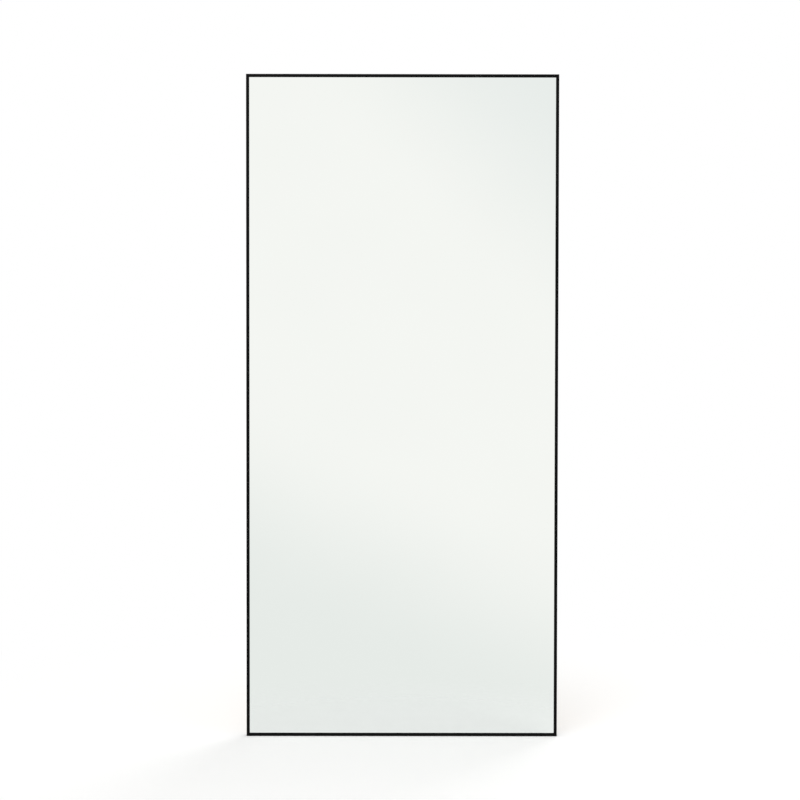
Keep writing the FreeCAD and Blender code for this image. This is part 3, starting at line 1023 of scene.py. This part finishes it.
def spread(length, count):
    """Places set evenly along a length, between the insets of the first and last panel screw."""
    step = (length - 2 * PANEL_SCREW_INSET) / (count - 1)
    return [PANEL_SCREW_INSET + step * number for number in range(count)]


def panel_seats():
    """Under the heads of the screws that run through the section's rib into the board."""
    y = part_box("panel_screws")[1].y - PANEL_SCREW["Head Height"] * MM
    side = FRAME_WIDTH / 2 - SLOT_CENTRE
    levels = (SLOT_CENTRE, FRAME_HEIGHT - SLOT_CENTRE)
    stiles = [(x, y, z) for z in spread(FRAME_HEIGHT, STILE_SCREWS) for x in (-side, side)]
    rails = [(x - FRAME_WIDTH / 2, y, z) for x in spread(FRAME_WIDTH, RAIL_SCREWS) for z in levels]
    return stiles + rails


def hanger_seats():
    """Under the heads of the two screws below each ring's axis."""
    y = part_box("hanger_screws")[1].y - HANGER_SCREW["Head Height"] * MM
    axes = [joint["pos_m"] for joint in frame["joints"]]
    return [(x, y, z - drop) for x, _, z in axes for drop in HANGER_SCREW_DROPS]


def set_screw_seats():
    """The rear ends of the four screws in each corner key."""
    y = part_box("corner_set_screws")[1].y
    seats = []
    for x_side in (-1, 1):
        for reach in KEY_SCREW_REACHES:
            for x_in, z_in in ((reach, SLOT_CENTRE), (SLOT_CENTRE, reach)):
                x = x_side * (FRAME_WIDTH / 2 - x_in)
                seats += [(x, y, z_in), (x, y, FRAME_HEIGHT - z_in)]
    return seats


def place_screws(finishes):
    """Detailed screws in place of the plain CAD ones."""
    cross_heads = cross_head_screw_tree()
    sockets = socket_screw_tree()
    kinds = [
        ("panel_screws", cross_heads, PANEL_SCREW, "zinc_steel", panel_seats()),
        ("hanger_screws", cross_heads, HANGER_SCREW, "zinc_steel", hanger_seats()),
        ("corner_set_screws", sockets, SET_SCREW, "black_screw_steel", set_screw_seats()),
    ]
    for node, tree, sizes, slot, seats in kinds:
        screws = make_screws(f"{node}_detailed", tree, sizes, finishes[slot], seats)
        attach(screws, BODY)
        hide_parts(node)


# Stage

# The camera's place and turn that put the frame's four corners where the photo has them
CAMERA_PLACE = (-0.0148, -4.8694, 1.0119)
CAMERA_LENS_MM = 85
CAMERA_SENSOR_MM = 36
CAMERA_PITCH = math.radians(1.7075)
CAMERA_YAW = math.radians(0.1083)
CAMERA_ROLL = math.radians(0.0806)

FLOOR_HALF = 30.0
FLOOR_DROP = 0.2 * MM
# The floor as the camera sees it and as the mirror shows it: its tone, the light that is added to that,
# and from where to where it fades into what is behind it, measured from the foot of the mirror
FLOOR_SEEN = {"tone": "#e9e9e8", "lift": 0.2, "fade": (0.7, 1.8)}
FLOOR_MIRRORED = {"tone": "#a4a5a4", "lift": 0.52, "fade": (0.2, 0.9)}
# Strength of the even light that reaches the object from all round
SKY_LEVEL = 0.72

# Tones of the studio behind the camera, as the mirror shows them
STUDIO_WHITE = "#fcfbf9"
STUDIO_LOWER = "#eef0ee"
STUDIO_CORNER = "#eff1f0"
# A soft edge parts the upper from the lower tone: its slant, how far to the sides it slants, and where
# it starts and ends
EDGE_SLANT = 0.43
EDGE_REACH = 0.15
EDGE_START = -0.06
EDGE_END = -0.17
# Up to the right the studio falls off again
CORNER_START = 0.08
CORNER_END = 0.23
# Away from straight ahead, past what the mirror shows at the photo's angle, it gets slowly darker
STUDIO_FAR = "#c8cdcb"
FAR_START = 0.25
FAR_END = 1.9
# Least part of a ray that counts as straight ahead, which keeps a sideways ray's slopes finite
LEAST_AHEAD = 0.05


def look_through_camera():
    """The camera at the photo's viewing angle."""
    forward = Vector(
        (
            math.sin(CAMERA_YAW) * math.cos(CAMERA_PITCH),
            math.cos(CAMERA_YAW) * math.cos(CAMERA_PITCH),
            -math.sin(CAMERA_PITCH),
        )
    )
    level = Vector((math.cos(CAMERA_YAW), -math.sin(CAMERA_YAW), 0.0))
    upright = level.cross(forward)
    right = math.cos(CAMERA_ROLL) * level + math.sin(CAMERA_ROLL) * upright
    up = right.cross(forward)
    data = bpy.data.cameras.new("camera")
    data.lens = CAMERA_LENS_MM
    data.sensor_width = CAMERA_SENSOR_MM
    camera = bpy.data.objects.new("camera", data)
    turn = Matrix((right, up, -forward)).transposed().to_4x4()
    camera.matrix_world = Matrix.Translation(CAMERA_PLACE) @ turn
    bpy.context.scene.collection.objects.link(camera)
    bpy.context.scene.camera = camera


def choose_by_ray(tree, plain, mirrored, seen):
    """Nodes that give the camera one shader, mirroring and clear parts another, and other light a third."""
    path = add(tree, "ShaderNodeLightPath")
    glossy = add(
        tree,
        "ShaderNodeMath",
        {0: path.outputs["Is Glossy Ray"], 1: path.outputs["Is Transmission Ray"]},
        operation="MAXIMUM",
    )
    indirect = add(tree, "ShaderNodeMixShader", {0: glossy.outputs["Value"], 1: plain, 2: mirrored})
    chosen = add(
        tree,
        "ShaderNodeMixShader",
        {0: path.outputs["Is Camera Ray"], 1: indirect.outputs["Shader"], 2: seen},
    )
    return chosen.outputs["Shader"]


def fading_floor(tree, distance, look, beyond):
    """Nodes for painted floor with some light added, which fades with distance into what is beyond it."""
    paint = add(tree, "ShaderNodeBsdfDiffuse", {"Color": linear(look["tone"])})
    lift = add(tree, "ShaderNodeEmission", {"Strength": look["lift"]})
    near = add(tree, "ShaderNodeAddShader", {0: paint.outputs["BSDF"], 1: lift.outputs["Emission"]})
    start, end = look["fade"]
    away = add(
        tree,
        "ShaderNodeMapRange",
        {"Value": distance, "From Min": start, "From Max": end},
        interpolation_type="SMOOTHSTEP",
    )
    shown = add(
        tree,
        "ShaderNodeMixShader",
        {0: away.outputs["Result"], 1: near.outputs["Shader"], 2: beyond},
    )
    return shown.outputs["Shader"]


def matt_white_floor():
    """Matt white paint that keeps the mirror's shadow, lifted to white where the camera sees it."""
    material, tree, place = start_finish("matt_white_floor")
    distance = add(tree, "ShaderNodeVectorMath", {0: place}, operation="LENGTH").outputs["Value"]
    matt = add(tree, "ShaderNodeBsdfDiffuse", {"Color": linear(FLOOR_SEEN["tone"])})
    white = add(tree, "ShaderNodeEmission", {"Strength": 1.0})
    clear = add(tree, "ShaderNodeBsdfTransparent")
    mirrored = fading_floor(tree, distance, FLOOR_MIRRORED, clear.outputs["BSDF"])
    seen = fading_floor(tree, distance, FLOOR_SEEN, white.outputs["Emission"])
    surface = choose_by_ray(tree, matt.outputs["BSDF"], mirrored, seen)
    add(tree, "ShaderNodeOutputMaterial", {"Surface": surface})
    return material


def lay_floor():
    """A wide floor just under the mirror's foot."""
    half = FLOOR_HALF
    corners = [(-half, -half), (half, -half), (half, half), (-half, half)]
    mesh = bpy.data.meshes.new("floor")
    mesh.from_pydata([(x, y, -FLOOR_DROP) for x, y in corners], [], [(0, 1, 2, 3)])
    mesh.materials.append(matt_white_floor())
    floor = bpy.data.objects.new("floor", mesh)
    bpy.context.scene.collection.objects.link(floor)


def studio_tones(tree):
    """Nodes for the studio's colour in the direction of a ray, as the mirror shows it."""
    # Sideways and upward slope of the ray that left the mirror, as seen straight on
    ray = add(tree, "ShaderNodeTexCoord")
    parts = add(tree, "ShaderNodeSeparateXYZ", {"Vector": ray.outputs["Generated"]})
    out = add(tree, "ShaderNodeMath", {0: parts.outputs["Y"]}, operation="ABSOLUTE")
    ahead = add(tree, "ShaderNodeMath", {0: out.outputs["Value"], 1: LEAST_AHEAD}, operation="MAXIMUM")
    side = add(
        tree,
        "ShaderNodeMath",
        {0: parts.outputs["X"], 1: ahead.outputs["Value"]},
        operation="DIVIDE",
    )
    rise = add(
        tree,
        "ShaderNodeMath",
        {0: parts.outputs["Z"], 1: ahead.outputs["Value"]},
        operation="DIVIDE",
    )
    near_side = add(
        tree,
        "ShaderNodeClamp",
        {"Value": side.outputs["Value"], "Min": -EDGE_REACH, "Max": EDGE_REACH},
    )
    slanted = add(
        tree,
        "ShaderNodeMath",
        {0: near_side.outputs["Result"], 1: EDGE_SLANT, 2: rise.outputs["Value"]},
        operation="MULTIPLY_ADD",
    )
    below = add(
        tree,
        "ShaderNodeMapRange",
        {"Value": slanted.outputs["Value"], "From Min": EDGE_START, "From Max": EDGE_END},
        interpolation_type="SMOOTHSTEP",
    )
    halves = add(
        tree,
        "ShaderNodeMix",
        {
            MIX_FACTOR: below.outputs["Result"],
            MIX_FIRST: linear(STUDIO_WHITE),
            MIX_SECOND: linear(STUDIO_LOWER),
        },
        data_type="RGBA",
    )
    upper_right = add(
        tree,
        "ShaderNodeMath",
        {0: near_side.outputs["Result"], 1: rise.outputs["Value"]},
        operation="ADD",
    )
    corner = add(
        tree,
        "ShaderNodeMapRange",
        {"Value": upper_right.outputs["Value"], "From Min": CORNER_START, "From Max": CORNER_END},
        interpolation_type="SMOOTHSTEP",
    )
    cornered = add(
        tree,
        "ShaderNodeMix",
        {
            MIX_FACTOR: corner.outputs["Result"],
            MIX_FIRST: halves.outputs[MIX_RESULT],
            MIX_SECOND: linear(STUDIO_CORNER),
        },
        data_type="RGBA",
    )
    slopes = add(tree, "ShaderNodeCombineXYZ", {"X": side.outputs["Value"], "Y": rise.outputs["Value"]})
    off_centre = add(tree, "ShaderNodeVectorMath", {0: slopes.outputs["Vector"]}, operation="LENGTH")
    far_off = add(
        tree,
        "ShaderNodeMapRange",
        {"Value": off_centre.outputs["Value"], "From Min": FAR_START, "From Max": FAR_END},
    )
    studio = add(
        tree,
        "ShaderNodeMix",
        {
            MIX_FACTOR: far_off.outputs["Result"],
            MIX_FIRST: cornered.outputs[MIX_RESULT],
            MIX_SECOND: linear(STUDIO_FAR),
        },
        data_type="RGBA",
    )
    return studio.outputs[MIX_RESULT]


def surround_with_studio():
    """A white world for the camera, even soft light for the object, and pale tones for what it reflects."""
    world = bpy.data.worlds.new("studio")
    world.use_nodes = True
    bpy.context.scene.world = world
    tree = world.node_tree
    tree.nodes.clear()
    soft_light = add(tree, "ShaderNodeBackground", {"Color": linear("#ffffff"), "Strength": SKY_LEVEL})
    reflected = add(tree, "ShaderNodeBackground", {"Color": studio_tones(tree), "Strength": 1.0})
    white = add(tree, "ShaderNodeBackground", {"Color": linear("#ffffff"), "Strength": 1.0})
    surface = choose_by_ray(
        tree,
        soft_light.outputs["Background"],
        reflected.outputs["Background"],
        white.outputs["Background"],
    )
    add(tree, "ShaderNodeOutputWorld", {"Surface": surface})


# Soft lamps as place, point aimed at, width in metres and power in watts
LAMPS = {
    "front_lamp": ((-0.8, -3.2, 3.4), (0.0, 0.0, 0.8), 2.4, 55),
    "rear_lamp": ((1.2, 2.8, 3.2), (0.0, 0.0, 0.9), 2.0, 50),
}


def hang_lamps():
    """Large soft lamps above the front and the back, out of what the mirror shows."""
    for name, (place, aim, width, power) in LAMPS.items():
        data = bpy.data.lights.new(name, "AREA")
        data.size = width
        data.energy = power
        lamp = bpy.data.objects.new(name, data)
        lamp.location = place
        lamp.rotation_mode = "QUATERNION"
        lamp.rotation_quaternion = (Vector(aim) - Vector(place)).to_track_quat("-Z", "Y")
        bpy.context.scene.collection.objects.link(lamp)


FINISHES = {
    "black_aluminium": powder_coated_aluminium(),
    "silvered_glass": silvered_float_glass(),
    "safety_film": woven_safety_film(),
    "foam_tape": acrylic_foam_tape(),
    "backing_board": raw_fibreboard(),
    "black_rubber": extruded_rubber(),
    "zinc_steel": zinc_plated_steel(),
    "black_screw_steel": black_oxide_steel(),
    "nickel_wire": nickel_plated_wire(),
}
dress_nodes(FINISHES)
place_screws(FINISHES)
look_through_camera()
lay_floor()
surround_with_studio()
hang_lamps()
bpy.context.scene.view_settings.view_transform = "Standard"
